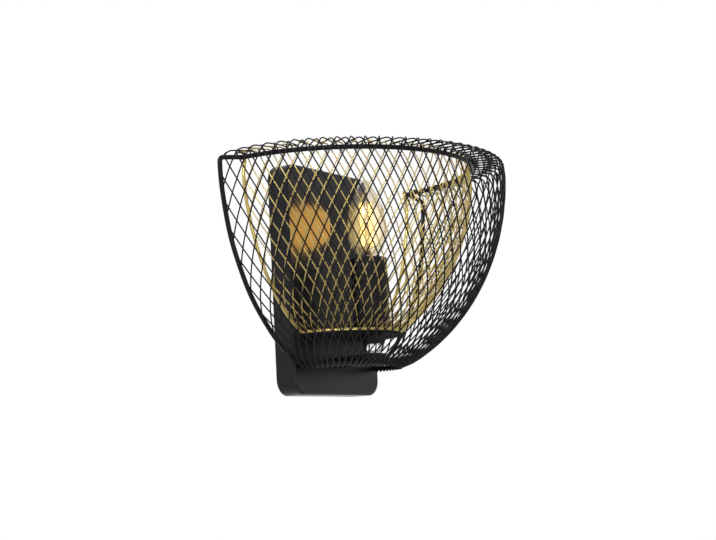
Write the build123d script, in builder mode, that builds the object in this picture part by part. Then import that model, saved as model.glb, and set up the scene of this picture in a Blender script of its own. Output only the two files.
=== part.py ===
from build123d import *
import math
import os

os.makedirs("parts", exist_ok=True)

# Wire wall lamp in millimetres: +Z up, the wall is the plane y = 0 and the front faces -Y.
# The origin is the middle of the wall plate's back.

# Wall plate: a pressed steel box, open at the back
plate_height = 200.0
plate_depth = 20.0
plate_wall = 1.2
plate_corner = 14.0
plate_edge = 2.4

# Fits
weld_gap = 0.25
lap_gap = 0.5
slip_gap = 0.3
thread_gap = 0.1

# Wall bracket behind the plate
bracket_width = 24.0
bracket_sheet = 1.5
bracket_tab = 12.0
slot_pitch = 100.0
slot_width = 5.0
slot_length = 12.0
cover_screw = 4.0
cover_screw_length = 8.0
cover_screw_depth = 7.0
cover_screw_key = 2.0

# Terminal block, earth screw and leads inside the plate
block_width = 30.0
block_depth = 12.5
block_height = 16.0
block_base = 8.0
pole_pitch = 9.0
pole_screw = 3.0
pole_screw_length = 4.0
pole_screw_pitch = 8.0
block_screw = 3.0
block_screw_head = 5.4
block_screw_head_height = 2.0
earth_screw = 4.0
earth_head = 8.0
earth_head_height = 2.6
earth_height = -22.0
lead = 2.0
lead_spacing = 2.3
lead_bend = 7.0
lead_grip = 4.0

# Shade rods and mesh strands
outer_rod = 4.0
inner_rod = 3.0
wire = 1.1
cell_side = 12.8

# Outer bowl: half of a round bowl with a flat mesh rim; the posts' legs slope down from the rim ring
foot_margin = 24.0
bowl_height = 170.2
rim_ring_radius = 126.0
outer_radius = 154.5
outer_foot_radius = 55.6
shoulder = 8.0
leg_drop = 3.3
post_bend = 4.0
outer_cells = 41
outer_phase = 0.17
rim_row = 14.75
foot_tail = 12.0
foot_edge = 7.9

# Inner bowl, drawn in at the top to pass inside the rim ring
inner_radius = 125.7
inner_foot_radius = 54.7
inner_foot_rise = 28.6
inner_tuck_height = 26.0
inner_rise = 2.5
inner_cells = 32
inner_phase = 0.78
inner_first_row = 1.0

# Arm, nipple and lamp holder, upright in front of the plate
holder_reach = 38.0
arm_diameter = 10.0
arm_tail = 8.0
arm_bore = 5.6
arm_tail_length = 9.0
knuckle_width = 16.0
nipple_diameter = 10.0
nipple_bore = 7.0
nipple_bite = 8.0
nipple_show = 2.0
nut_thickness = 6.0
nut_flats = 17.0
cup_diameter = 21.0
cup_height = 8.3
cup_wall = 1.2
disc_sheet = 1.5
holder_diameter = 32.0
holder_wall = 1.2
holder_height = 65.4

# Lamp socket inside the holder sleeve
socket_diameter = 26.0
socket_inset = 4.5
socket_floor = 8.0
socket_base_height = 16.0
socket_base_wall = 2.0
socket_base_floor = 4.0
shell_sheet = 0.5
spring_width = 5.0
spring_sheet = 0.6

# Candle bulb with a small screw cap
bulb_diameter = 35.0
bulb_length = 70.25
bulb_belly_rise = 25.25
bulb_neck = 17.0
bulb_glass_wall = 0.8
bulb_tip_radius = 4.5
cap_diameter = 13.6
cap_skirt = 17.0
cap_skirt_height = 7.0
cap_length = 24.0
cap_wall = 0.4
insulator_height = 2.0
contact_diameter = 4.0
contact_height = 1.0
filament_count = 4
filament_diameter = 1.8
filament_length = 38.0
filament_rise = 10.25
filament_circle = 5.5
stem_height = 9.0
stem_tip_radius = 1.6
support_wire = 0.6

# Nuts and washers that hold the outer bowl and the arm to the plate
foot_nut_flats = 7.0
foot_nut_thickness = 3.2
washer_sheet = 0.8
foot_washer = 9.0
arm_washer = 16.0
arm_nut_flats = 13.0
arm_nut_thickness = 4.0

# Places that follow from the sizes above
plate_front = -plate_depth
plate_inside = plate_front + plate_wall
cut = plate_front - weld_gap - outer_rod / 2
axis_y = plate_front - holder_reach
bracket_height = plate_height - 2 * (plate_wall + slip_gap)
outer_foot_height = foot_margin - plate_height / 2
inner_foot_height = outer_foot_height + inner_foot_rise
rim_height = outer_foot_height + bowl_height
plate_width = 2 * (outer_foot_radius + foot_edge)
strand_reach = wire / math.sqrt(2)
layer = 2 * strand_reach + lap_gap
mesh_half = layer / 2 + strand_reach
mesh_top = rim_height + outer_rod / 2 + weld_gap + mesh_half
outer_belly = mesh_top - shoulder
inner_throat = rim_ring_radius - outer_rod / 2 - weld_gap - mesh_half
inner_top = rim_height + inner_rise
disc_top = inner_foot_height - inner_rod / 2
disc_base = disc_top - disc_sheet
cup_base = disc_base - cup_height
knuckle_top = cup_base - nut_thickness - nipple_show
knuckle_height = arm_diameter
arm_height = knuckle_top - knuckle_height / 2
disc_radius = inner_foot_radius + inner_rod / 2
holder_top = disc_top + holder_height
socket_top = holder_top - socket_inset
bulb_base = holder_top + weld_gap
bulb_tip = bulb_base + bulb_length
bulb_belly = bulb_base + bulb_belly_rise
filament_base = bulb_base + filament_rise
cap_base = bulb_base - cap_length
contact_base = cap_base - insulator_height - contact_height
shell_radius = cap_diameter / 2 + slip_gap + shell_sheet
shell_base = cap_base
shell_length = cap_length - cap_skirt_height - 2 * slip_gap
socket_bore = shell_radius + thread_gap
socket_mouth = cap_skirt / 2 + slip_gap
socket_well = contact_base - slip_gap - 2 * spring_sheet
socket_base_top = socket_well - socket_floor
nipple_top = socket_base_top - socket_base_height + socket_base_floor
lead_depth = bracket_sheet + block_depth / 2
lead_top = block_base + lead_grip
lead_end = socket_base_top + lead_grip


def finish(piece, name):
    """Names a piece and writes its file."""
    piece.part.label = name
    export_step(piece.part, f"parts/{name}.step")


def hex_nut(plane, places, flats, bore, thickness):
    """Hexagon nuts of one size, lying on a plane."""
    with BuildPart() as nuts:
        with BuildSketch(plane):
            with Locations(*places):
                RegularPolygon(flats / 2, 6, major_radius=False)
                Circle(bore / 2 + thread_gap, mode=Mode.SUBTRACT)
        extrude(amount=thickness)
    return nuts


def washer(plane, places, outside, bore, thickness):
    """Plain washers of one size, lying on a plane."""
    with BuildPart() as rings:
        with BuildSketch(plane):
            with Locations(*places):
                Circle(outside / 2)
                Circle(bore / 2 + slip_gap, mode=Mode.SUBTRACT)
        extrude(amount=thickness)
    return rings


def tube_along(path, radius):
    """A round rod of one radius along a path."""
    with BuildPart() as rod:
        with BuildSketch(Plane(origin=path.line @ 0, z_dir=path.line % 0)):
            Circle(radius)
        sweep(path=path.line)
    return rod


# Wall plate, with holes for the arm, the outer bowl's two tails and the two cover screws
with BuildPart() as backplate:
    with BuildSketch(Plane.XZ):
        RectangleRounded(plate_width, plate_height, plate_corner)
    extrude(amount=plate_depth)
    fillet(backplate.faces().sort_by(Axis.Y)[0].edges(), plate_edge)
    offset(amount=-plate_wall, openings=backplate.faces().sort_by(Axis.Y)[-1])
    with BuildSketch(Plane.XZ):
        with Locations((0, arm_height)):
            Circle(arm_tail / 2 + slip_gap)
        with Locations((-outer_foot_radius, outer_foot_height), (outer_foot_radius, outer_foot_height)):
            Circle(outer_rod / 2 + slip_gap)
    extrude(amount=plate_depth, mode=Mode.SUBTRACT)
    with BuildSketch(Plane.XY):
        with Locations((0, -cover_screw_depth)):
            Circle(cover_screw / 2 + slip_gap)
    extrude(amount=plate_height, both=True, mode=Mode.SUBTRACT)
finish(backplate, "backplate")

# Bracket that is screwed to the wall, with a tab turned forward at each end
with BuildPart() as wall_bracket:
    with BuildSketch(Plane.YZ):
        with Locations((-bracket_sheet / 2, 0)):
            Rectangle(bracket_sheet, bracket_height)
        with GridLocations(0, bracket_height - bracket_sheet, 1, 2):
            with Locations((-bracket_tab / 2, 0)):
                Rectangle(bracket_tab, bracket_sheet)
    extrude(amount=bracket_width / 2, both=True)
    with BuildSketch(Plane.XZ):
        with GridLocations(0, slot_pitch, 1, 2):
            SlotOverall(slot_length, slot_width, rotation=90)
        with Locations((pole_pitch / 2, block_base + block_height / 2)):
            Circle(block_screw / 2 + thread_gap)
        with Locations((0, earth_height)):
            Circle(earth_screw / 2 + thread_gap)
    extrude(amount=bracket_sheet, mode=Mode.SUBTRACT)
    with BuildSketch(Plane.XY):
        with Locations((0, -cover_screw_depth)):
            Circle(cover_screw / 2 + thread_gap)
    extrude(amount=plate_height, both=True, mode=Mode.SUBTRACT)
finish(wall_bracket, "wall_bracket")

# Headless screws that hold the plate to the bracket's tabs, flush with its top and bottom
with BuildPart() as cover_screws:
    for side in (1, -1):
        head_plane = Plane(origin=(0, -cover_screw_depth, side * plate_height / 2), z_dir=(0, 0, side))
        with BuildSketch(head_plane):
            Circle(cover_screw / 2)
        extrude(amount=-cover_screw_length)
        with BuildSketch(head_plane):
            RegularPolygon(cover_screw_key / 2, 6, major_radius=False)
        extrude(amount=-cover_screw_key, mode=Mode.SUBTRACT)
finish(cover_screws, "cover_screws")

# Terminal block on the bracket: three through poles, two clamping screws each
block_middle = block_base + block_height / 2
with BuildPart() as terminal_block:
    with BuildSketch(Plane.XZ.offset(bracket_sheet)):
        with Locations((0, block_middle)):
            RectangleRounded(block_width, block_height, plate_wall)
    extrude(amount=block_depth)
    with BuildSketch(Plane.XY.offset(block_base)):
        with Locations((0, -lead_depth)):
            with GridLocations(pole_pitch, 0, 3, 1):
                Circle(lead / 2 + slip_gap)
    extrude(amount=block_height, mode=Mode.SUBTRACT)
    with BuildSketch(Plane.XZ.offset(bracket_sheet + block_depth)):
        with Locations((0, block_middle)):
            with GridLocations(pole_pitch, pole_screw_pitch, 3, 2):
                Circle(pole_screw / 2 + slip_gap)
    extrude(amount=-block_depth / 2, mode=Mode.SUBTRACT)
    with BuildSketch(Plane.XZ.offset(bracket_sheet)):
        with Locations((pole_pitch / 2, block_middle)):
            Circle(block_screw / 2 + slip_gap)
    extrude(amount=block_depth, mode=Mode.SUBTRACT)
    with BuildSketch(Plane.XZ.offset(bracket_sheet + block_depth)):
        with Locations((pole_pitch / 2, block_middle)):
            Circle(block_screw_head / 2 + slip_gap)
    extrude(amount=-block_screw_head_height - slip_gap, mode=Mode.SUBTRACT)
finish(terminal_block, "terminal_block")

with BuildPart() as terminal_screws:
    with BuildSketch(Plane.XZ.offset(lead_depth + lead / 2 + slip_gap)):
        with Locations((0, block_middle)):
            with GridLocations(pole_pitch, pole_screw_pitch, 3, 2):
                Circle(pole_screw / 2)
    extrude(amount=pole_screw_length)
finish(terminal_screws, "terminal_screws")

with BuildPart() as terminal_fixing:
    with BuildSketch(Plane.XZ.offset(weld_gap)):
        with Locations((pole_pitch / 2, block_middle)):
            Circle(block_screw / 2)
    extrude(amount=bracket_sheet + block_depth - weld_gap - slip_gap)
    with BuildSketch(Plane.XZ.offset(bracket_sheet + block_depth - slip_gap)):
        with Locations((pole_pitch / 2, block_middle)):
            Circle(block_screw_head / 2)
    extrude(amount=-block_screw_head_height)
finish(terminal_fixing, "terminal_fixing")

with BuildPart() as earth_screw_piece:
    with BuildSketch(Plane.XZ.offset(weld_gap)):
        with Locations((0, earth_height)):
            Circle(earth_screw / 2)
    extrude(amount=bracket_sheet)
    with BuildSketch(Plane.XZ.offset(bracket_sheet)):
        with Locations((0, earth_height)):
            Circle(earth_head / 2)
    extrude(amount=earth_head_height)
finish(earth_screw_piece, "earth_screw")

# Live and neutral leads: from the block through the arm and the nipple to the socket
for name, side in (("live_lead", -1), ("neutral_lead", 1)):
    pole_x = side * pole_pitch
    bore_x = side * lead_spacing / 2
    with BuildLine() as route:
        FilletPolyline(
            (pole_x, -lead_depth, lead_top),
            (pole_x, -lead_depth, earth_height),
            (bore_x, -lead_depth, arm_height + 2 * lead_bend),
            (bore_x, -lead_depth, arm_height),
            (bore_x, axis_y, arm_height),
            (bore_x, axis_y, lead_end),
            radius=[lead_bend, lead_bend, lead_bend, lead_bend / 2],
        )
    finish(tube_along(route, lead / 2), name)

# Earth lead: from the block's middle pole to the screw on the bracket
with BuildLine() as route:
    FilletPolyline(
        (0, -lead_depth, lead_top),
        (0, -lead_depth, block_base - lead_bend),
        (0, -bracket_sheet - weld_gap - lead / 2, block_base - 2 * lead_bend),
        (0, -bracket_sheet - weld_gap - lead / 2, earth_height + earth_head / 2 + weld_gap),
        radius=lead_bend / 2,
    )
finish(tube_along(route, lead / 2), "earth_lead")

# Arm: a tube with a thinner threaded tail through the plate
knuckle_back = axis_y + knuckle_width / 2
with BuildPart() as arm:
    with BuildSketch(Plane.XZ.offset(plate_depth)):
        with Locations((0, arm_height)):
            Circle(arm_diameter / 2)
    extrude(amount=plate_front - knuckle_back)
    with BuildSketch(Plane.XZ.offset(plate_depth)):
        with Locations((0, arm_height)):
            Circle(arm_tail / 2)
    extrude(amount=-arm_tail_length)
    with BuildSketch(Plane.XZ):
        with Locations((0, arm_height)):
            Circle(arm_bore / 2)
    extrude(amount=-knuckle_back, mode=Mode.SUBTRACT)
finish(arm, "arm")

arm_seat = Plane.XZ.offset(-plate_inside)
finish(washer(arm_seat, [(0, arm_height)], arm_washer, arm_tail, -washer_sheet), "arm_washer")
arm_nut_seat = Plane.XZ.offset(-plate_inside - washer_sheet)
finish(hex_nut(arm_nut_seat, [(0, arm_height)], arm_nut_flats, arm_tail, -arm_nut_thickness), "arm_nut")

# Knuckle: the block at the arm's end that carries the nipple
with BuildPart() as knuckle:
    with BuildSketch(Plane.XY.offset(knuckle_top)):
        with Locations((0, axis_y)):
            RectangleRounded(knuckle_width, knuckle_width, arm_diameter / 4)
    extrude(amount=-knuckle_height)
    with BuildSketch(Plane.XZ.offset(-knuckle_back)):
        with Locations((0, arm_height)):
            Circle(arm_bore / 2)
    extrude(amount=knuckle_width / 2, mode=Mode.SUBTRACT)
    with BuildSketch(Plane.XY.offset(knuckle_top)):
        with Locations((0, axis_y)):
            Circle(nipple_bore / 2)
    extrude(amount=-nipple_bite, mode=Mode.SUBTRACT)
finish(knuckle, "knuckle")

# Nipple: a threaded tube from the knuckle up into the socket base
with BuildPart() as nipple:
    with BuildSketch(Plane.XY.offset(knuckle_top)):
        with Locations((0, axis_y)):
            Circle(nipple_diameter / 2)
            Circle(nipple_bore / 2, mode=Mode.SUBTRACT)
    extrude(amount=nipple_top - knuckle_top)
finish(nipple, "nipple")

nut_seat = Plane.XY.offset(cup_base - nut_thickness)
finish(hex_nut(nut_seat, [(0, axis_y)], nut_flats, nipple_diameter, nut_thickness), "nipple_nut")

# Cup under the disc
with BuildPart() as holder_cup:
    with BuildSketch(Plane.XY.offset(cup_base)):
        with Locations((0, axis_y)):
            Circle(cup_diameter / 2)
    extrude(amount=cup_height)
    fillet(holder_cup.faces().sort_by(Axis.Z)[0].edges(), cup_wall)
    with BuildSketch(Plane.XY.offset(cup_base + cup_wall)):
        with Locations((0, axis_y)):
            Circle(cup_diameter / 2 - cup_wall)
    extrude(amount=cup_height, mode=Mode.SUBTRACT)
    with BuildSketch(Plane.XY.offset(cup_base)):
        with Locations((0, axis_y)):
            Circle(nipple_diameter / 2 + slip_gap)
    extrude(amount=cup_wall, mode=Mode.SUBTRACT)
finish(holder_cup, "holder_cup")

# Half disc that carries the inner bowl and is clamped under the holder
with BuildPart() as carrier_disc:
    with BuildSketch(Plane.XY.offset(disc_base)):
        with BuildLine():
            edge = CenterArc((0, cut), disc_radius, 180, 180)
            Line(edge @ 1, edge @ 0)
        make_face()
        with Locations((0, axis_y)):
            Circle(nipple_diameter / 2 + slip_gap, mode=Mode.SUBTRACT)
    extrude(amount=disc_sheet)
finish(carrier_disc, "carrier_disc")

# Holder sleeve around the socket
with BuildPart() as holder_sleeve:
    with BuildSketch(Plane.XY.offset(disc_top)):
        with Locations((0, axis_y)):
            Circle(holder_diameter / 2)
            Circle(holder_diameter / 2 - holder_wall, mode=Mode.SUBTRACT)
    extrude(amount=holder_top - disc_top)
    fillet(holder_sleeve.faces().sort_by(Axis.Z)[-1].edges(), holder_wall / 3)
finish(holder_sleeve, "holder_sleeve")

# Socket base, screwed on the nipple's upper end
with BuildPart() as socket_base:
    with BuildSketch(Plane.XY.offset(socket_base_top - socket_base_height)):
        with Locations((0, axis_y)):
            Circle(socket_diameter / 2)
    extrude(amount=socket_base_height)
    with BuildSketch(Plane.XY.offset(socket_base_top - socket_base_height + socket_base_floor)):
        with Locations((0, axis_y)):
            Circle(socket_diameter / 2 - socket_base_wall)
    extrude(amount=socket_base_height, mode=Mode.SUBTRACT)
    with BuildSketch(Plane.XY.offset(socket_base_top - socket_base_height)):
        with Locations((0, axis_y)):
            Circle(nipple_diameter / 2 + thread_gap)
    extrude(amount=socket_base_floor, mode=Mode.SUBTRACT)
finish(socket_base, "socket_base")

# Socket body: a stepped bore for the thread shell and the bulb cap's skirt
with BuildPart() as socket_body:
    with BuildSketch(Plane.XY.offset(socket_base_top)):
        with Locations((0, axis_y)):
            Circle(socket_diameter / 2)
            with GridLocations(lead_spacing, 0, 2, 1):
                Circle(lead / 2 + slip_gap / 4, mode=Mode.SUBTRACT)
    extrude(amount=socket_top - socket_base_top)
    with BuildSketch(Plane.XY.offset(socket_well)):
        with Locations((0, axis_y)):
            Circle(socket_bore)
    extrude(amount=socket_top - socket_well, mode=Mode.SUBTRACT)
    with BuildSketch(Plane.XY.offset(shell_base + shell_length)):
        with Locations((0, axis_y)):
            Circle(socket_mouth)
    extrude(amount=socket_top - shell_base, mode=Mode.SUBTRACT)
finish(socket_body, "socket_body")

# Brass thread shell and centre contact
with BuildPart() as socket_shell:
    with BuildSketch(Plane.XY.offset(shell_base)):
        with Locations((0, axis_y)):
            Circle(shell_radius)
            Circle(shell_radius - shell_sheet, mode=Mode.SUBTRACT)
    extrude(amount=shell_length)
finish(socket_shell, "socket_shell")

spring_length = 2 * shell_radius - 2 * shell_sheet
with BuildPart() as socket_contact:
    with BuildSketch(Plane.XY.offset(socket_well)):
        with Locations((0, axis_y)):
            Rectangle(spring_length, spring_width)
    extrude(amount=spring_sheet)
    with BuildSketch(Plane.XY.offset(socket_well + spring_sheet)):
        with Locations((0, axis_y)):
            Circle(contact_diameter / 2)
    extrude(amount=spring_sheet)
finish(socket_contact, "socket_contact")

# Candle bulb glass: two arcs meet at the belly, a third closes the tip
belly_radius = bulb_diameter / 2
neck_radius = bulb_neck / 2 - cap_wall - weld_gap / 2
neck_base = bulb_base - cap_skirt_height / 2


def bulb_outline(inset):
    """One side of the glass and the bulb's axis, as (radius, height); the flank runs into a round tip."""
    neck = (neck_radius - inset, bulb_base + cap_wall)
    belly = belly_radius - inset
    tip_radius = bulb_tip_radius - inset
    tip_middle = bulb_tip - bulb_tip_radius
    rise = tip_middle - bulb_belly
    flank_radius = (belly**2 + rise**2 - tip_radius**2) / (2 * (belly - tip_radius))
    lean = math.atan2(rise, flank_radius - belly)
    high = (tip_radius * math.cos(lean), tip_middle + tip_radius * math.sin(lean))
    with BuildLine() as outline:
        Polyline((0, bulb_tip - inset), (0, neck_base), (neck_radius - inset, neck_base), neck)
        TangentArc((belly, bulb_belly), neck, tangent=(0, -1))
        TangentArc((belly, bulb_belly), high, tangent=(0, 1))
        CenterArc((0, tip_middle), tip_radius, math.degrees(lean), 90 - math.degrees(lean))
    return outline.edges()


bulb_axis = Axis((0, axis_y, 0), (0, 0, 1))
with BuildPart() as bulb_glass:
    with BuildSketch(Plane.XZ.offset(-axis_y)):
        make_face(bulb_outline(0))
        make_face(bulb_outline(bulb_glass_wall), mode=Mode.SUBTRACT)
    revolve(axis=bulb_axis)
finish(bulb_glass, "bulb_glass")

# Screw cap of the bulb, with a wider skirt round the glass neck
skirt_base = bulb_base - cap_skirt_height
with BuildPart() as bulb_cap:
    with BuildSketch(Plane.XY.offset(cap_base)):
        with Locations((0, axis_y)):
            Circle(cap_diameter / 2)
    extrude(amount=skirt_base - cap_base)
    with BuildSketch(Plane.XY.offset(skirt_base)):
        with Locations((0, axis_y)):
            Circle(cap_skirt / 2)
    extrude(amount=cap_skirt_height)
    with BuildSketch(Plane.XY.offset(cap_base)):
        with Locations((0, axis_y)):
            Circle(cap_diameter / 2 - cap_wall)
    extrude(amount=cap_length, mode=Mode.SUBTRACT)
    with BuildSketch(Plane.XY.offset(neck_base - weld_gap)):
        with Locations((0, axis_y)):
            Circle(cap_skirt / 2 - cap_wall)
    extrude(amount=cap_skirt_height, mode=Mode.SUBTRACT)
finish(bulb_cap, "bulb_cap")

with BuildPart() as bulb_insulator:
    with BuildSketch(Plane.XY.offset(cap_base)):
        with Locations((0, axis_y)):
            Circle(cap_diameter / 2 - cap_wall)
    extrude(amount=-insulator_height, taper=30)
finish(bulb_insulator, "bulb_insulator")

with BuildPart() as bulb_contact:
    with BuildSketch(Plane.XY.offset(contact_base)):
        with Locations((0, axis_y)):
            Circle(contact_diameter / 2)
    extrude(amount=contact_height)
finish(bulb_contact, "bulb_contact")

# Glass stem, the wires that hold the filaments and the filaments themselves
stem_top = neck_base + bulb_glass_wall + stem_height
stem_radius = neck_radius - bulb_glass_wall - weld_gap
with BuildPart() as bulb_stem:
    with BuildSketch(Plane.XY.offset(neck_base)):
        with Locations((0, axis_y)):
            Circle(stem_radius)
    with BuildSketch(Plane.XY.offset(stem_top)):
        with Locations((0, axis_y)):
            Circle(stem_tip_radius)
    loft()
finish(bulb_stem, "bulb_stem")

filament_top = filament_base + filament_length
with BuildPart() as filament_wires:
    with BuildSketch(Plane.XY.offset(stem_top)):
        with Locations((0, axis_y)):
            Circle(support_wire)
    extrude(amount=filament_top + weld_gap + support_wire - stem_top)
    for level in (filament_base - weld_gap - support_wire, filament_top + weld_gap):
        with BuildSketch(Plane.XY.offset(level)):
            with Locations((0, axis_y)):
                Circle(filament_circle + filament_diameter / 2)
                Circle(filament_circle - filament_diameter / 2, mode=Mode.SUBTRACT)
                Rectangle(2 * filament_circle, 2 * support_wire)
        extrude(amount=support_wire)
finish(filament_wires, "filament_wires")

with BuildPart() as filaments:
    with BuildSketch(Plane.XY.offset(filament_base)):
        with Locations((0, axis_y)):
            with PolarLocations(filament_circle, filament_count):
                Circle(filament_diameter / 2)
    extrude(amount=filament_length)
finish(filaments, "filaments")


def bowl_depth(radius, belly, foot_radius, foot_height):
    """Depth of the quarter ellipse that leaves the belly upright and passes through the foot ring."""
    return (belly - foot_height) / math.sqrt(1 - (foot_radius / radius) ** 2)


def bowl_curve(radius, belly, foot_radius, foot_height, rod, steps):
    """(radius, height) points down a bowl's wall from its belly to just short of its foot ring."""
    depth = bowl_depth(radius, belly, foot_radius, foot_height)
    foot = math.acos(foot_radius / radius)
    slope = math.hypot(radius * math.sin(foot), depth * math.cos(foot))
    last = foot - (rod / 2 + weld_gap) / slope
    angles = [last * step / steps for step in range(steps + 1)]
    return [(radius * math.cos(angle), belly - depth * math.sin(angle)) for angle in angles]


def inner_curve(steps):
    """(radius, height) points down the inner bowl, drawn in quadratically towards the rim ring's inside."""
    low = rim_height - inner_tuck_height
    wall = bowl_curve(inner_radius, inner_top, inner_foot_radius, inner_foot_height, inner_rod, steps)
    tuck = inner_radius - inner_throat
    return [(r - tuck * max(0, (z - low) / inner_tuck_height) ** 2, z) for r, z in wall]


def half_ring(radius, height, rod, back):
    """A half circle of rod in front of the cut plane, with straight ends back to a given depth."""
    with BuildLine() as path:
        Line((-radius, back, height), (-radius, cut, height))
        CenterArc((0, cut, height), radius, 180, 180)
        Line((radius, cut, height), (radius, back, height))
    return tube_along(path, rod / 2)


def post(side, start, wall, rod):
    """A rod in the cut plane from its upper end down the bowl's wall; start holds the straight leg's ends."""
    corner = wall[0]
    with BuildLine() as path:
        last = Line(*[(side * r, cut, z) for r, z in start])
        if start[-1] != corner:
            last = TangentArc(last @ 1, (side * corner[0], cut, corner[1]), tangent=last % 1)
        for r, z in wall[1:]:
            last = TangentArc(last @ 1, (side * r, cut, z), tangent=last % 1)
    return tube_along(path, rod / 2)


wall_arcs = 8
wall_steps = 96

# Outer bowl frame: rim ring, foot ring with tails through the plate, and a post at each side
rod_back = cut + outer_rod / 2
finish(half_ring(rim_ring_radius, rim_height, outer_rod, rod_back), "outer_rim_ring")
finish(half_ring(outer_foot_radius, outer_foot_height, outer_rod, plate_front + foot_tail), "outer_foot_ring")
leg_start = (rim_ring_radius + outer_rod / 2 + weld_gap, rim_height)
leg_end = (outer_radius - post_bend, rim_height - leg_drop)
leg_slope = math.atan2(leg_drop, leg_end[0] - leg_start[0])
post_top = leg_end[1] - post_bend * math.cos(leg_slope) / (1 - math.sin(leg_slope))
outer_wall = bowl_curve(outer_radius, outer_belly, outer_foot_radius, outer_foot_height, outer_rod, wall_arcs)
outer_wall[0] = (outer_radius, post_top)
finish(post(-1, [leg_start, leg_end], outer_wall, outer_rod), "outer_left_post")
finish(post(1, [leg_start, leg_end], outer_wall, outer_rod), "outer_right_post")

# Washers and nuts on the foot ring's tails
foot_places = [(-outer_foot_radius, outer_foot_height), (outer_foot_radius, outer_foot_height)]
finish(washer(arm_seat, foot_places, foot_washer, outer_rod, -washer_sheet), "foot_washers")
finish(hex_nut(arm_nut_seat, foot_places, foot_nut_flats, outer_rod, -foot_nut_thickness), "foot_nuts")

# Inner bowl frame: foot ring on the disc and a post at each side
finish(half_ring(inner_foot_radius, inner_foot_height, inner_rod, cut + inner_rod / 2), "inner_foot_ring")
inner_wall = inner_curve(wall_arcs * 2)
inner_leg = inner_wall[:2]
finish(post(-1, inner_leg, inner_wall[1:], inner_rod), "inner_left_post")
finish(post(1, inner_leg, inner_wall[1:], inner_rod), "inner_right_post")


def station(meridian, distance):
    """Point and outward normal at a distance along a meridian of (radius, height) points."""
    for (r0, z0), (r1, z1) in zip(meridian, meridian[1:]):
        step = math.hypot(r1 - r0, z1 - z0)
        normal = ((z0 - z1) / step, (r1 - r0) / step)
        if distance <= step:
            break
        distance -= step
    share = min(distance / step, 1)
    return r0 + share * (r1 - r0), z0 + share * (z1 - z0), normal


def mesh_rows(meridian, first_rows, pitch):
    """Rows of crossings down a meridian, each a row number with its radius, height and normal.

    The first rows are given as (number, distance). Below them every cell keeps the same side length,
    so a row is taller where the bowl is narrower."""
    length = sum(math.dist(a, b) for a, b in zip(meridian, meridian[1:]))
    rows = [(number, *station(meridian, distance)) for number, distance in first_rows[:-1]]
    number, distance = first_rows[-1]
    while distance < length:
        radius, height, normal = station(meridian, distance)
        rows.append((number, radius, height, normal))
        step = math.sqrt(cell_side**2 - (radius * math.radians(pitch) / 2) ** 2)
        number += 1
        distance += step
    last_number = number - (distance - length) / step
    rows.append((last_number, *station(meridian, length)))
    return rows


def trimmed(points, limit):
    """The stretch of a strand in front of the posts, with no scrap at either end."""
    kept = []
    for a, b in zip(points, points[1:]):
        if a.Y < limit:
            kept.append(a)
        if (a.Y < limit) != (b.Y < limit):
            kept.append(a + (b - a) * ((limit - a.Y) / (b.Y - a.Y)))
    if points[-1].Y < limit:
        kept.append(points[-1])
    if len(kept) > 2 and (kept[1] - kept[0]).length < 2 * wire:
        del kept[1]
    if len(kept) > 2 and (kept[-1] - kept[-2]).length < 2 * wire:
        del kept[-2]
    return kept


def sag(angle, radius, height):
    """Fall of the outer mesh's rim beside the posts, where it follows their sloping legs."""
    nearness = (1 - max(0, math.sin(angle))) ** 5
    reach = max(0, radius - rim_ring_radius) / (outer_radius - rim_ring_radius)
    fade = max(0, 1 - max(0, outer_belly - height) / (4 * shoulder))
    return leg_drop * nearness * reach * fade


def strands(meridian, first_rows, cells, phase, rod, turn):
    """One family of slanting strands over a half bowl; the two families lie one on the other."""
    pitch = 180 / cells
    rows = mesh_rows(meridian, first_rows, pitch)
    limit = cut - rod / 2 - weld_gap - strand_reach
    spread = math.ceil(rows[-1][0] / 2) + 1
    pieces = []
    for index in range(-spread - cells // 2, cells + spread - cells // 2):
        points = []
        for number, radius, height, (normal_r, normal_z) in rows:
            angle = math.radians(90 + pitch * (index + phase + turn * number / 2))
            reach = radius + turn * layer / 2 * normal_r
            level = height + turn * layer / 2 * normal_z - sag(angle, radius, height)
            points.append(Vector(reach * math.cos(angle), cut - reach * math.sin(angle), level))
        points = trimmed(points, limit)
        if len(points) < 2 or (points[-1] - points[0]).length < cell_side / 2:
            continue
        with BuildPart() as strand:
            with BuildLine() as path:
                Polyline(*points)
            with BuildSketch(Plane(origin=path.line @ 0, z_dir=path.line % 0)):
                Rectangle(wire, wire)
            sweep(path=path.line, transition=Transition.RIGHT)
        pieces.append(strand.part)
    with BuildPart() as family:
        add(pieces, clean=False)
    return family


def shoulder_curve(steps):
    """(radius, height) points of the outer mesh's flat rim and rounded shoulder, from the rim ring outwards."""
    turns = [math.pi / 2 * step / steps for step in range(steps + 1)]
    middle = outer_radius - shoulder
    arc = [(middle + shoulder * math.sin(turn), outer_belly + shoulder * math.cos(turn)) for turn in turns]
    return [(rim_ring_radius, mesh_top)] + arc


# Mesh of both bowls
outer_meridian = shoulder_curve(wall_steps // 8) + bowl_curve(
    outer_radius, outer_belly, outer_foot_radius, outer_foot_height, outer_rod, wall_steps
)[1:]
outer_first_rows = [(number, number * rim_row) for number in (0, 1, 1.5, 2)]
inner_meridian = inner_curve(wall_steps)
inner_first_rows = [(-inner_first_row / cell_side, 0), (0, inner_first_row)]
for hand, turn in (("left", 1), ("right", -1)):
    outer_family = strands(outer_meridian, outer_first_rows, outer_cells, outer_phase, outer_rod, turn)
    finish(outer_family, f"outer_strands_{hand}")
    inner_family = strands(inner_meridian, inner_first_rows, inner_cells, inner_phase, inner_rod, turn)
    finish(inner_family, f"inner_strands_{hand}")
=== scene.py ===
import math

import bpy
from mathutils import Matrix, Vector


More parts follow.
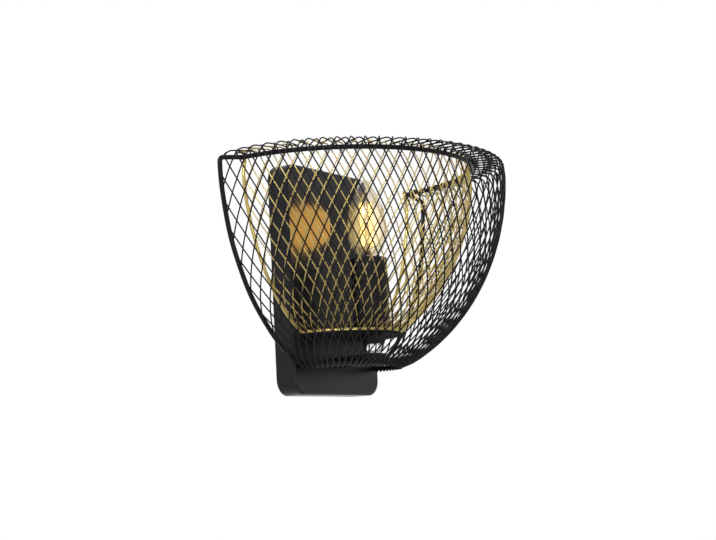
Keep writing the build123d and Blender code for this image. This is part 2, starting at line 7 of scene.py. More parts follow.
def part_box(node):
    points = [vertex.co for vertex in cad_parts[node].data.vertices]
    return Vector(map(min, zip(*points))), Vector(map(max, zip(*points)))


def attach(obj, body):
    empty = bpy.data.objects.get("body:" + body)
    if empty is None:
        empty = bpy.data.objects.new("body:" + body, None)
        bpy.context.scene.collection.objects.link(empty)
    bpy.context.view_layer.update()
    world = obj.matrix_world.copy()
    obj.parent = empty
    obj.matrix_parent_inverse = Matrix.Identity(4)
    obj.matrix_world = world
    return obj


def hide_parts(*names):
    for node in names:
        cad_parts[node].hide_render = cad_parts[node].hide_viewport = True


bl_info = {
    "name": "Wire wall lamp",
    "version": (1, 0, 0),
    "blender": (4, 5, 0),
    "location": "View3D > Sidebar > Wire lamp",
    "description": "Dresses a wall lamp with nested half-bowl wire shades and a candle bulb",
    "category": "Object",
}

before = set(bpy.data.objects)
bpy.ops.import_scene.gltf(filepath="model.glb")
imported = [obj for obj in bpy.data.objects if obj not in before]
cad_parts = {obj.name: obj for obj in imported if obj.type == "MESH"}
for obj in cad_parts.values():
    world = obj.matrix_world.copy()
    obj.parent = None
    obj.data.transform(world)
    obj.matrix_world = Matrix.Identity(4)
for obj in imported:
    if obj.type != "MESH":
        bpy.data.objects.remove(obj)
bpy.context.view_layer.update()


# Sizes in metres, taken from the CAD parts where they have them

def box_of(node):
    """Low and high corner of a CAD node."""
    low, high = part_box(node)
    return Vector(low), Vector(high)


RIM_LOW, RIM_HIGH = box_of("outer_rim_ring")
FOOT_LOW, FOOT_HIGH = box_of("outer_foot_ring")
INNER_LOW, INNER_HIGH = box_of("inner_foot_ring")
POST_LOW, POST_HIGH = box_of("outer_right_post")
GLASS_LOW, GLASS_HIGH = box_of("bulb_glass")

OUTER_ROD = RIM_HIGH.z - RIM_LOW.z
INNER_ROD = INNER_HIGH.z - INNER_LOW.z
RIM_HEIGHT = (RIM_HIGH.z + RIM_LOW.z) / 2
RIM_RADIUS = RIM_HIGH.x - OUTER_ROD / 2
CUT = (POST_LOW.y + POST_HIGH.y) / 2
OUTER_RADIUS = POST_HIGH.x - OUTER_ROD / 2
FOOT_RADIUS = FOOT_HIGH.x - OUTER_ROD / 2
FOOT_HEIGHT = (FOOT_HIGH.z + FOOT_LOW.z) / 2
INNER_FOOT_RADIUS = INNER_HIGH.x - INNER_ROD / 2
INNER_FOOT_HEIGHT = (INNER_HIGH.z + INNER_LOW.z) / 2
INNER_TOP = box_of("inner_right_post")[1].z
AXIS_Y = (GLASS_LOW.y + GLASS_HIGH.y) / 2
LAMP_AIM = Vector((0, AXIS_Y, 0.02))

# Rows of crossings where a mesh turns: the outer one from its edge, the inner one from the rim ring
RIM_ROWS = (0, 0.25, 0.5, 0.75, 1, 1.2, 1.35, 1.5, 1.65, 1.8, 2)
FOLD_ROWS = (-1.5, -1.25, -1, -0.75, -0.5, -0.25, -0.12, 0, 0.12, 0.5, 1)

# Steps along a post, a bowl's wall, the outer shoulder, the inner fold and the lap at the foot
POST_STEPS = 24
WALL_STEPS = 96
SHOULDER_STEPS = 12
FOLD_STEPS = 8
LAP_STEPS = 6

# Direction from the foot ring's middle where the lap starts and the turn of each step, in degrees
LAP_START = -66
LAP_TURN = -11

# Offset of a strand from its bowl and of the fold from the rim ring, in wire diameters
STRAND_LIFT = 0.3
FOLD_LIFT = 0.6

# Depth over which the rim mesh's fall beside the posts fades out, and how close to them it keeps
SAG_DEPTH = 0.036
SAG_POWER = 5

# Length of a knot against its width, size of a gold weld against a black one, and a weld's lumps
KNOT_LENGTH = 1.7
INNER_BEAD = 0.8
BEAD_RIPPLE = 900.0
BEAD_SWELL = (0.8, 1.2)

# Share of the cap's height that is threaded, points in one turn and sides of the ridge
THREAD_SHARE = 0.58
THREAD_STEPS = 40
THREAD_SIDES = 8

# Stretch of a noise's values that takes a surface from smooth to rough, and from bright to dull
ROUGH_SPAN = (0.3, 0.7)
DULL_SPAN = (0.4, 0.75)

# Shares of the glass's height where the painted glow of the filaments' light starts and ends, and
# between which it is full
PAINTED_GLOW_ENDS = (0.08, 0.82)
PAINTED_GLOW_FULL = (0.28, 0.52)

# Turn of the glass from the eye at which the painted glow is full and at which it is gone
PAINTED_GLOW_CORE = (0.02, 0.42)
SMEAR_SCALE = 90.0
GLASS_IOR = 1.46

# Bands along a filament and the tone of the darker ones
CHIP_SCALE = 190.0
CHIP_TONE = 0.75


def setting(kind, **options):
    """A maker of settings of one kind, each with a name, a description and a default."""

    def make(name, description, default):
        return kind(name=name, description=description, default=default, **options)

    return make


length = setting(bpy.props.FloatProperty, unit="LENGTH", precision=5)
bearing = setting(bpy.props.FloatProperty, unit="ROTATION")
number = setting(bpy.props.FloatProperty)
share = setting(bpy.props.FloatProperty, subtype="FACTOR", min=0, max=1)
whole = setting(bpy.props.IntProperty, min=1)
spot = setting(bpy.props.FloatVectorProperty, subtype="XYZ", unit="LENGTH")
colour = setting(bpy.props.FloatVectorProperty, subtype="COLOR", size=3, min=0, max=1)


class ShadeSettings(bpy.types.PropertyGroup):
    """Sizes of the two wire bowls and of the bulb cap's thread."""

    outer_wire: length("Outer wire", "Diameter of a black strand", 0.00122)
    inner_wire: length("Inner wire", "Diameter of a gold strand", 0.00107)
    cell_side: length("Cell side", "Length of one side of a mesh cell", 0.0128)
    outer_cells: whole("Outer cells", "Cells round the outer half bowl", 41)
    inner_cells: whole("Inner cells", "Cells round the inner half bowl", 32)
    outer_phase: number("Outer phase", "Turn of the outer mesh, in cells", 0.17)
    inner_phase: number("Inner phase", "Turn of the inner mesh, in cells", 0.78)
    rim_row: length("Rim row", "Distance between rows of crossings on the flat rim", 0.01445)
    rim_lift: length("Rim lift", "Height of the flat rim above the rim ring's middle", 0.0032)
    shoulder: length("Shoulder", "Width of the outer mesh's rounded shoulder", 0.008)
    belly: length("Belly", "Depth of the wall's upright edge below the rim ring's middle", 0.00394)
    leg_drop: length("Leg drop", "Fall of the flat rim beside the posts", 0.0033)
    inner_radius: length("Inner radius", "Largest radius of the inner bowl", 0.1257)
    inner_throat: length("Inner throat", "Radius of the inner bowl inside the rim ring", 0.1226)
    inner_tuck: length("Inner tuck", "Height over which the inner bowl is drawn in", 0.026)
    inner_row: length("Inner row", "Height of a row of crossings above the rim ring", 0.0015)
    flange: length("Flange", "Reach of the gold edge over the rim ring at the left post", 0.017)
    sides: whole("Wire sides", "Facets round a strand", 7)
    smoothing: whole("Smoothing", "Steps between two points of a strand", 2)
    knot_size: number("Knot size", "Width of a welded crossing, in wire diameters", 1.25)
    bead: length("Weld bead", "Size of a weld between two rods", 0.0021)
    thread_radius: length("Thread radius", "Radius of the bulb cap's thread", 0.0066)
    thread_pitch: length("Thread pitch", "Rise of the bulb cap's thread in one turn", 0.00282)
    thread_wire: length("Thread ridge", "Radius of the thread's rounded ridge", 0.00045)


class FinishSettings(bpy.types.PropertyGroup):
    """Colours of the finishes."""

    black_coat: colour("Black coat", "Satin powder coat", (0.0095, 0.0088, 0.0112))
    gold_coat: colour("Gold coat", "Satin gold of the inner bowl", (0.560, 0.438, 0.160))
    zinc: colour("Zinc", "Bright zinc plate", (0.72, 0.73, 0.74))
    brass: colour("Brass", "Bare brass of the contacts", (0.72, 0.50, 0.20))
    nickel: colour("Nickel", "Nickel plate of the bulb cap", (0.74, 0.73, 0.70))
    white_plastic: colour("White plastic", "Terminal block", (0.78, 0.77, 0.72))
    black_plastic: colour("Black plastic", "Socket", (0.022, 0.022, 0.024))
    live: colour("Live lead", "Sheath of the live lead", (0.19, 0.075, 0.03))
    neutral: colour("Neutral lead", "Sheath of the neutral lead", (0.03, 0.12, 0.42))
    earth: colour("Earth lead", "Sheath of the earth lead", (0.10, 0.40, 0.07))
    black_glass: colour("Black glass", "Insulator at the cap's foot", (0.015, 0.015, 0.017))
    solder: colour("Solder", "Contact at the cap's foot", (0.55, 0.55, 0.53))
    support: colour("Support", "Wires that hold the filaments", (0.55, 0.52, 0.48))
    smeared_glass: colour("Smeared glass", "Tint where the glass is smeared", (0.80, 0.762, 0.69))
    clear_glass: colour("Clear glass", "Tint where the glass is clear", (0.87, 0.835, 0.765))
    # Painted glow in the bulb's glass: emission that stands for the filaments' light scattered in
    # it
    painted_glow_tint: colour("Haze tint", "Warm light that hangs in the bulb's glass", (1.0, 0.72, 0.26))
    painted_glow: number("Haze", "Strength of the light in the bulb's glass", 0.2)
    filament: colour("Filament", "Colour of the lit filaments", (1.0, 0.62, 0.17))
    filament_strength: number("Filament strength", "Emission of the lit filaments", 3.2)


class StageSettings(bpy.types.PropertyGroup):
    """Camera, floor and light."""

    eye: spot("Eye", "Place of the camera", (-1.0348, -0.7473, -0.1554))
    yaw: bearing("Yaw", "Turn of the view to the right", 0.97546)
    pitch: bearing("Pitch", "Tilt of the view upwards", 0.12985)
    roll: bearing("Roll", "Lean of the camera", -0.05219)
    lens: number("Lens", "Focal length in millimetres on a 36 mm sensor", 72.22)
    floor: length("Floor", "Height of the floor", -0.75)
    floor_reach: length("Floor reach", "Half the floor's width", 30.0)
    floor_tone: share("Floor tone", "Grey of the floor", 0.85)
    shown: share("Shown white", "Share of plain white in what is seen of the near floor", 0.75)
    near: length("Near floor", "Distance up to which the floor keeps its tone", 0.9)
    far: length("Far floor", "Distance at which the floor has paled to white", 2.8)
    ambient: number("Ambient", "Strength of the world's soft light", 0.42)
    key: number("Key", "Power of the large lamp in watts", 24.0)
    key_place: spot("Key place", "Place of the large lamp", (-1.7, -0.9, 1.0))
    key_size: length("Key size", "Width of the large lamp", 0.9)
    low: number("Low lamp", "Power of the small low lamp in watts", 6.0)
    low_place: spot("Low place", "Place of the small low lamp", (-0.9, -1.5, -0.55))
    low_size: length("Low size", "Width of the small low lamp", 0.6)
    glow: number("Glow", "Power of the bulb's glow on the plate in watts", 0.068)
    glow_tint: colour("Glow tint", "Colour of the bulb's glow on the plate", (1.0, 0.51, 0.085))
    glow_width: number("Glow width", "Width of the glow's lamp, in bulb widths", 1.35)
    glow_height: number("Glow height", "Height of the glow's lamp, in bulb heights", 0.56)
    glow_reach: length("Glow reach", "Distance of the glow's lamp from the bulb's middle", 0.018)
    glow_shift: length("Glow shift", "Shift of the glow's lamp towards the plate", 0.0095)


# Node helpers

def add_node(tree, kind, inputs=None, **settings):
    """Adds a node, sets its properties and its inputs; a socket as a value is linked."""
    node = tree.nodes.new(kind)
    for name, value in settings.items():
        setattr(node, name, value)
    for name, value in (inputs or {}).items():
        socket = node.inputs[name]
        if isinstance(value, bpy.types.NodeSocket):
            tree.links.new(value, socket)
        else:
            socket.default_value = value
    return node


def math_of(tree, operation, first, second):
    """Result of a sum on two values."""
    return add_node(tree, "ShaderNodeMath", {0: first, 1: second}, operation=operation).outputs[0]


def range_of(tree, value, source, target, **settings):
    """A value taken from one range to another."""
    inputs = {
        "Value": value,
        "From Min": source[0],
        "From Max": source[1],
        "To Min": target[0],
        "To Max": target[1],
    }
    return add_node(tree, "ShaderNodeMapRange", inputs, **settings).outputs["Result"]


def noise_of(tree, place, scale, detail, roughness=0.5):
    """Cloudy noise at a place."""
    inputs = {"Vector": place, "Scale": scale, "Detail": detail, "Roughness": roughness}
    return add_node(tree, "ShaderNodeTexNoise", inputs).outputs["Fac"]


def rings_of(tree, place, scale, distortion, detail=2.0):
    """Rings stacked along Z at a place."""
    inputs = {"Vector": place, "Scale": scale, "Distortion": distortion, "Detail": detail}
    settings = {"wave_type": "BANDS", "bands_direction": "Z"}
    return add_node(tree, "ShaderNodeTexWave", inputs, **settings).outputs["Fac"]


def object_place(tree):
    """Place on the object itself."""
    return add_node(tree, "ShaderNodeTexCoord").outputs["Object"]


# Sockets that every geometry tree has
GEOMETRY = ("Geometry", "NodeSocketGeometry", None)
FINISH = ("Finish", "NodeSocketMaterial", None)


def new_group(kind, name, inputs, outputs):
    """An empty node group with named sockets, and its input and output nodes."""
    group = bpy.data.node_groups.new(name, kind)
    for direction, sockets in (("INPUT", inputs), ("OUTPUT", outputs)):
        for label, socket_type, default in sockets:
            socket = group.interface.new_socket(label, in_out=direction, socket_type=socket_type)
            if default is not None:
                socket.default_value = default
    start = group.nodes.new("NodeGroupInput")
    end = group.nodes.new("NodeGroupOutput")
    return group, start, end


# Surfaces

SURFACE_OUTPUTS = [
    ("Color", "NodeSocketColor", None),
    ("Roughness", "NodeSocketFloat", None),
    ("Height", "NodeSocketFloat", None),
]

# Values of the surface groups for finishes that several pieces share
MOULDED = {
    "Grain Scale": 1500.0, "Mottle Scale": 80.0, "Spread": 0.08, "Smooth": 0.4, "Rough": 0.55
}
SHEATH = {
    "Grain Scale": 900.0, "Mottle Scale": 60.0, "Spread": 0.1, "Smooth": 0.3, "Rough": 0.45
}
SMALL_PARTS = {
    "Grain Scale": 1500.0, "Mottle Scale": 120.0, "Spread": 0.15, "Smooth": 0.15, "Rough": 0.35
}


def end_surface(group, start, end, value, patches, height):
    """Ends a surface group: a tint of some brightness, roughness in patches, and a height."""
    inputs = {"Color": start.outputs["Tint"], "Value": value}
    shade = add_node(group, "ShaderNodeHueSaturation", inputs).outputs["Color"]
    limits = (start.outputs["Smooth"], start.outputs["Rough"])
    rough = range_of(group, patches, ROUGH_SPAN, limits)
    for label, socket in (("Color", shade), ("Roughness", rough), ("Height", height)):
        group.links.new(socket, end.inputs[label])


def coat_group():
    """Sprayed and baked coat: slow mottling, fine grain and a height for the bump."""
    name = "Coat grain"
    if name in bpy.data.node_groups:
        return bpy.data.node_groups[name]
    inputs = [
        ("Tint", "NodeSocketColor", (0.5, 0.5, 0.5, 1)),
        ("Grain Scale", "NodeSocketFloat", 2600.0),
        ("Mottle Scale", "NodeSocketFloat", 45.0),
        ("Spread", "NodeSocketFloat", 0.12),
        ("Smooth", "NodeSocketFloat", 0.35),
        ("Rough", "NodeSocketFloat", 0.5),
    ]
    group, start, end = new_group("ShaderNodeTree", name, inputs, SURFACE_OUTPUTS)
    place = object_place(group)
    grain = noise_of(group, place, start.outputs["Grain Scale"], detail=2.0, roughness=0.55)
    mottle = noise_of(group, place, start.outputs["Mottle Scale"], detail=4.0, roughness=0.6)
    centred = math_of(group, "SUBTRACT", math_of(group, "ADD", grain, mottle), 1.0)
    swing = math_of(group, "MULTIPLY", centred, start.outputs["Spread"])
    end_surface(group, start, end, math_of(group, "ADD", swing, 1.0), mottle, grain)
    return group


def brushed_group():
    """Worked bare metal: fine rings of a thread or brushing along Z, and dull patches."""
    name = "Worked metal"
    if name in bpy.data.node_groups:
        return bpy.data.node_groups[name]
    inputs = [
        ("Tint", "NodeSocketColor", (0.7, 0.7, 0.7, 1)),
        ("Ring Scale", "NodeSocketFloat", 300.0),
        ("Patch Scale", "NodeSocketFloat", 120.0),
        ("Dulling", "NodeSocketFloat", 0.25),
        ("Smooth", "NodeSocketFloat", 0.2),
        ("Rough", "NodeSocketFloat", 0.45),
    ]
    group, start, end = new_group("ShaderNodeTree", name, inputs, SURFACE_OUTPUTS)
    place = object_place(group)
    rings = rings_of(group, place, start.outputs["Ring Scale"], distortion=0.4, detail=1.0)
    patch = noise_of(group, place, start.outputs["Patch Scale"], detail=5.0, roughness=0.65)
    dull = range_of(group, patch, DULL_SPAN, (0.0, start.outputs["Dulling"]))
    end_surface(group, start, end, math_of(group, "SUBTRACT", 1.0, dull), patch, rings)
    return group


def empty_material(name):
    """A material without nodes, and its tree."""
    material = bpy.data.materials.new(name)
    material.use_nodes = True
    material.node_tree.nodes.clear()
    return material, material.node_tree


def end_material(tree, inputs):
    """Ends a material in a Principled shader."""
    shader = add_node(tree, "ShaderNodeBsdfPrincipled", inputs)
    add_node(tree, "ShaderNodeOutputMaterial", {"Surface": shader.outputs["BSDF"]})


def surface(name, group, tint, values, bump, distance, **shader_values):
    """A material whose colour, roughness and bump come from one of the surface groups."""
    material, tree = empty_material(name)
    inputs = {"Tint": (*tint, 1), **values}
    effect = add_node(tree, "ShaderNodeGroup", inputs, node_tree=group).outputs
    relief = {"Height": effect["Height"], "Strength": bump, "Distance": distance}
    end_material(
        tree,
        {
            "Base Color": effect["Color"],
            "Roughness": effect["Roughness"],
            "Normal": add_node(tree, "ShaderNodeBump", relief).outputs["Normal"],
            **shader_values,
        },
    )
    return material


def metal(name, tint, values, bump, distance):
    """Bare or plated metal with the marks of its making."""
    return surface(name, brushed_group(), tint, values, bump, distance, Metallic=1.0)


def paint(material, *nodes):
    """Gives CAD nodes a finish."""
    for name in nodes:
        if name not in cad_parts:
            raise RuntimeError(f"no CAD node is named {name}")
        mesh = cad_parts[name].data
        mesh.materials.clear()
        mesh.materials.append(material)


def black_coat_material(name="powder_black", shine=0.19, smooth=0.25, rough=0.33):
    """The black powder coat as it lies on flat sheet, or with another shine."""
    values = {
        "Grain Scale": 2400.0, "Mottle Scale": 40.0, "Spread": 0.2, "Smooth": smooth, "Rough": rough
    }
    return bpy.data.materials.get(name) or surface(
        name,
        coat_group(),
        bpy.context.scene.wire_lamp_finish.black_coat,
        values,
        bump=0.05,
        distance=0.0001,
        **{"Specular IOR Level": shine},
    )


def rod_coat_material():
    """The black coat as it lies on rods and wire, a little duller than on flat sheet."""
    return black_coat_material("rod_black", 0.1)


def disc_coat_material():
    """The black coat on the disc, matt so that its underside stays dark at a flat angle."""
    return black_coat_material("matt_black", 0.05, 0.6, 0.7)


def gold_coat_material():
    """The gold coat of the inner bowl's rods and wire."""
    values = {
        "Grain Scale": 1800.0, "Mottle Scale": 60.0, "Spread": 0.16, "Smooth": 0.24, "Rough": 0.34
    }
    return bpy.data.materials.get("satin_gold") or surface(
        "satin_gold",
        coat_group(),
        bpy.context.scene.wire_lamp_finish.gold_coat,
        values,
        bump=0.06,
        distance=0.0001,
        Metallic=1.0,
    )


def glass_material(finish):
    """Clear glass with faint smears in its tint, and a painted glow in its belly: emission that
    stands for the filaments' light and is strongest where the glass faces the eye.
    """
    material, tree = empty_material("clear_glass")
    place = object_place(tree)
    smears = noise_of(tree, place, SMEAR_SCALE, detail=3.0, roughness=0.6)
    tint = add_node(tree, "ShaderNodeValToRGB", {"Fac": smears})
    tint.color_ramp.elements[0].color = (*finish.smeared_glass, 1)
    tint.color_ramp.elements[1].color = (*finish.clear_glass, 1)
    # Painted glow: emission that rises and fades with height and is strongest where the glass faces
    # the eye, standing for the filaments' light
    height = add_node(tree, "ShaderNodeSeparateXYZ", {"Vector": place}).outputs["Z"]
    rise = range_of(tree, height, (GLASS_LOW.z, GLASS_HIGH.z), (0.0, 1.0))
    painted_glow_ramp = add_node(tree, "ShaderNodeValToRGB", {"Fac": rise})
    ramp = painted_glow_ramp.color_ramp
    ramp.interpolation = "EASE"
    for index, at in enumerate(PAINTED_GLOW_ENDS):
        ramp.elements[index].position = at
        ramp.elements[index].color = (0, 0, 0, 1)
    for at in PAINTED_GLOW_FULL:
        ramp.elements.new(at).color = (*finish.painted_glow_tint, 1)
    facing = add_node(tree, "ShaderNodeLayerWeight", {"Blend": 0.5}).outputs["Facing"]
    painted_glow_facing = range_of(tree, facing, PAINTED_GLOW_CORE, (1.0, 0.0), interpolation_type="SMOOTHSTEP")
    inputs = {0: painted_glow_ramp.outputs["Color"], "Scale": painted_glow_facing}
    light = add_node(tree, "ShaderNodeVectorMath", inputs, operation="SCALE").outputs["Vector"]
    end_material(
        tree,
        {
            "Base Color": tint.outputs["Color"],
            "Roughness": 0.0,
            "Transmission Weight": 1.0,
            "IOR": GLASS_IOR,
            "Emission Color": light,
            "Emission Strength": finish.painted_glow,
        },
    )
    return material


def filament_material(finish):
    """Phosphor sticks that glow unevenly along their length."""
    material, tree = empty_material("filament")
    chips = rings_of(tree, object_place(tree), CHIP_SCALE, distortion=0.3)
    ramp = add_node(tree, "ShaderNodeValToRGB", {"Fac": chips})
    tint = Vector(finish.filament)
    ramp.color_ramp.elements[0].color = (*(tint * CHIP_TONE), 1)
    ramp.color_ramp.elements[1].color = (*tint, 1)
    end_material(
        tree,
        {
            "Base Color": ramp.outputs["Color"],
            "Roughness": 0.5,
            "Emission Color": ramp.outputs["Color"],
            "Emission Strength": finish.filament_strength,
        },
    )
    return material


# Wire bowls

def bowl_points(radius, belly, foot_radius, foot_height, steps):
    """(radius, height) points down a quarter ellipse from its belly to its foot ring."""
    depth = (belly - foot_height) / math.sqrt(1 - (foot_radius / radius) ** 2)
    foot = math.acos(foot_radius / radius)
    angles = [foot * step / steps for step in range(steps + 1)]
    return [(radius * math.cos(a), belly - depth * math.sin(a)) for a in angles]


def quarter_turn(steps):
    """Angles from nothing to a right angle."""
    return [math.pi / 2 * step / steps for step in range(steps + 1)]


def station(meridian, distance):
    """Point and outward normal at a distance along a meridian."""
    for (r0, z0), (r1, z1) in zip(meridian, meridian[1:]):
        step = math.hypot(r1 - r0, z1 - z0)
        normal = ((z0 - z1) / step, (r1 - r0) / step)
        if distance <= step:
            break
        distance -= step
    part = min(distance / step, 1)
    return r0 + part * (r1 - r0), z0 + part * (z1 - z0), normal


def mesh_rows(meridian, first_rows, pitch, cell_side):
    """Rows of crossings down a meridian: row number, radius, height and outward normal.

    The first rows are given as (number, distance); below them every cell keeps its side length."""
    total = sum(math.dist(a, b) for a, b in zip(meridian, meridian[1:]))
    rows = [(row, *station(meridian, distance)) for row, distance in first_rows[:-1]]
    row, distance = first_rows[-1]
    while distance < total:
        radius, height, normal = station(meridian, distance)
        rows.append((row, radius, height, normal))
        step = math.sqrt(cell_side**2 - (radius * pitch / 2) ** 2)
        row += 1
        distance += step
    rows.append((row - (distance - total) / step, *station(meridian, total)))
    return rows


def sag(drop, angle, radius, height):
    """Fall of the rim's mesh beside the posts, where it follows their sloping legs."""
    nearness = (1 - max(0, math.sin(angle))) ** SAG_POWER
    reach = max(0, radius - RIM_RADIUS) / (OUTER_RADIUS - RIM_RADIUS)
    fade = max(0, 1 - max(0, RIM_HEIGHT - height) / SAG_DEPTH)
    return drop * nearness * reach * fade


def on_bowl(radius, angle, height):
    """Point at an angle round the bowls' shared axis."""
    return Vector((radius * math.cos(angle), CUT - radius * math.sin(angle), height))


def clipped(points, limit):
    """The stretch of a strand in front of the posts."""
    kept = []
    for a, b in zip(points, points[1:]):
        if a.y < limit:
            kept.append(a)
        if (a.y < limit) != (b.y < limit):
            kept.append(a.lerp(b, (limit - a.y) / (b.y - a.y)))
    if points[-1].y < limit:
        kept.append(points[-1])
    return kept


def strand_layout(meridian, first_rows, cells, phase, wire, limit, shade, flange=None):
    """Strands as lists of points, and the welds with their outward directions.

    A flange over the rim ring narrows from the left post to nothing at the front."""
    pitch = math.pi / cells
    rows = mesh_rows(meridian, first_rows, pitch, shade.cell_side)
    spread = math.ceil(rows[-1][0] / 2) + 1
    strands = []
    welds = []
    for turn in (1, -1):
        lift = turn * wire * STRAND_LIFT
        for index in range(-spread - cells // 2, cells + spread - cells // 2):
            points = []
            for row, radius, height, (normal_r, normal_z) in rows:
                angle = math.pi / 2 + pitch * (index + phase + turn * row / 2)
                if flange and radius > RIM_RADIUS + flange * max(0, -math.cos(angle)):
                    continue
                height -= sag(shade.leg_drop, angle, radius, height)
                points.append(on_bowl(radius + lift * normal_r, angle, height + lift * normal_z))
                if turn == 1 and row == int(row) and points[-1].y < limit:
                    outward = on_bowl(normal_r, angle, normal_z) - Vector((0, CUT, 0))
                    welds.append((on_bowl(radius, angle, height), outward))
            points = clipped(points, limit)
            if len(points) < 2 or (points[-1] - points[0]).length < shade.cell_side / 2:
                continue
            strands.append(points)
            for end in (points[0], points[-1]):
                welds.append((end, Vector((end.x, end.y - CUT, 0)).normalized()))
    return strands, welds


def wire_tree():
    """Geometry nodes: round wire along every strand and a welded knot on every crossing."""
    name = "Wire bowl"
    if name in bpy.data.node_groups:
        return bpy.data.node_groups[name]
    inputs = [
        GEOMETRY,
        ("Wire", "NodeSocketFloat", 0.0014),
        ("Sides", "NodeSocketInt", 7),
        ("Smoothing", "NodeSocketInt", 3),
        ("Knot Size", "NodeSocketFloat", 1.3),
        FINISH,
    ]
    tree, start, end = new_group("GeometryNodeTree", name, inputs, [GEOMETRY])
    half = math_of(tree, "MULTIPLY", start.outputs["Wire"], 0.5)
    is_knot = add_node(
        tree, "GeometryNodeInputNamedAttribute", {"Name": "knot"}, data_type="BOOLEAN"
    )
    choice = {"Geometry": start.outputs["Geometry"], "Selection": is_knot.outputs["Attribute"]}
    split = add_node(tree, "GeometryNodeSeparateGeometry", choice, domain="POINT")
    paths = add_node(tree, "GeometryNodeMeshToCurve", {"Mesh": split.outputs["Inverted"]})
    curves = {"Curve": paths.outputs["Curve"]}
    soft = add_node(tree, "GeometryNodeCurveSplineType", curves, spline_type="CATMULL_ROM")
    steps = {"Geometry": soft.outputs["Curve"], "Resolution": start.outputs["Smoothing"]}
    fine = add_node(tree, "GeometryNodeSetSplineResolution", steps)
    wires = swept(tree, fine.outputs["Geometry"], start.outputs["Sides"], half)
    ball = add_node(tree, "GeometryNodeMeshIcoSphere", {"Radius": half, "Subdivisions": 1})
    outward = add_node(
        tree, "GeometryNodeInputNamedAttribute", {"Name": "outward"}, data_type="FLOAT_VECTOR"
    )
    aim = add_node(
        tree,
        "FunctionNodeAlignRotationToVector",
        {"Vector": outward.outputs["Attribute"]},
        axis="X",
        pivot_axis="Z",
    )
    wide = start.outputs["Knot Size"]
    long = math_of(tree, "MULTIPLY", wide, KNOT_LENGTH)
    size = add_node(tree, "ShaderNodeCombineXYZ", {"X": wide, "Y": wide, "Z": long})
    copies = {
        "Points": split.outputs["Selection"],
        "Instance": ball.outputs["Mesh"],
        "Rotation": aim.outputs["Rotation"],
        "Scale": size.outputs["Vector"],
    }
    knots = add_node(tree, "GeometryNodeInstanceOnPoints", copies)
    joined = add_node(tree, "GeometryNodeJoinGeometry")
    tree.links.new(knots.outputs["Instances"], joined.inputs["Geometry"])
    tree.links.new(wires, joined.inputs["Geometry"])
    finish_tree(tree, end, joined.outputs["Geometry"], start.outputs["Finish"])
    return tree


def bead_tree():
    """Geometry nodes: an uneven weld bead on every point."""
    name = "Weld beads"
    if name in bpy.data.node_groups:
        return bpy.data.node_groups[name]
    inputs = [
        GEOMETRY,
        ("Bead", "NodeSocketFloat", 0.002),
        ("Seed", "NodeSocketInt", 3),
        FINISH,
    ]
    tree, start, end = new_group("GeometryNodeTree", name, inputs, [GEOMETRY])
    points = add_node(tree, "GeometryNodeMeshToPoints", {"Mesh": start.outputs["Geometry"]})
    size = start.outputs["Bead"]
    ball = add_node(tree, "GeometryNodeMeshIcoSphere", {"Radius": size, "Subdivisions": 3})
    place = add_node(tree, "GeometryNodeInputPosition").outputs["Position"]
    swell = range_of(tree, noise_of(tree, place, BEAD_RIPPLE, detail=1.0), (0.0, 1.0), BEAD_SWELL)
    moved = add_node(tree, "ShaderNodeVectorMath", {0: place, "Scale": swell}, operation="SCALE")
    shape = {"Geometry": ball.outputs["Mesh"], "Position": moved.outputs["Vector"]}
    lump = add_node(tree, "GeometryNodeSetPosition", shape)
    draw = {"Max": (math.tau, math.tau, math.tau), "Seed": start.outputs["Seed"]}
    turn = add_node(tree, "FunctionNodeRandomValue", draw, data_type="FLOAT_VECTOR")
    copies = {
        "Points": points.outputs["Points"],
        "Instance": lump.outputs["Geometry"],
        "Rotation": turn.outputs["Value"],
    }
    beads = add_node(tree, "GeometryNodeInstanceOnPoints", copies)
    finish_tree(tree, end, beads.outputs["Instances"], start.outputs["Finish"])
    return tree


def thread_tree():
    """Geometry nodes: the rounded ridge of a screw thread round the Z axis of a place."""
    name = "Screw thread"
    if name in bpy.data.node_groups:
        return bpy.data.node_groups[name]
    inputs = [
        GEOMETRY,
        ("Radius", "NodeSocketFloat", 0.0066),
        ("Ridge", "NodeSocketFloat", 0.0004),
        ("Turns", "NodeSocketFloat", 5.0),
        ("Length", "NodeSocketFloat", 0.014),
        ("Place", "NodeSocketVector", None),
        FINISH,
    ]
    tree, start, end = new_group("GeometryNodeTree", name, inputs, [GEOMETRY])
    coil = {
        "Resolution": THREAD_STEPS,
        "Rotations": start.outputs["Turns"],
        "Start Radius": start.outputs["Radius"],
        "End Radius": start.outputs["Radius"],
        "Height": start.outputs["Length"],
    }
    helix = add_node(tree, "GeometryNodeCurveSpiral", coil)
    ridge = swept(tree, helix.outputs["Curve"], THREAD_SIDES, start.outputs["Ridge"])
    move = {"Geometry": ridge, "Translation": start.outputs["Place"]}
    placed = add_node(tree, "GeometryNodeTransform", move)
    finish_tree(tree, end, placed.outputs["Geometry"], start.outputs["Finish"])
    return tree


def swept(tree, path, sides, radius):
    """A round section swept along a path, with closed ends."""
    circle = {"Resolution": sides, "Radius": radius}
    section = add_node(tree, "GeometryNodeCurvePrimitiveCircle", circle).outputs["Curve"]
    sweep = {"Curve": path, "Profile Curve": section, "Fill Caps": True}
    return add_node(tree, "GeometryNodeCurveToMesh", sweep).outputs["Mesh"]


def finish_tree(tree, end, geometry, finish):
    """Ends a tree: real mesh, smooth shading and a finish."""
    real = add_node(tree, "GeometryNodeRealizeInstances", {"Geometry": geometry})
    smooth = add_node(tree, "GeometryNodeSetShadeSmooth", {"Geometry": real.outputs["Geometry"]})
    coat = {"Geometry": smooth.outputs["Geometry"], "Material": finish}
    coated = add_node(tree, "GeometryNodeSetMaterial", coat)
    tree.links.new(coated.outputs["Geometry"], end.inputs["Geometry"])


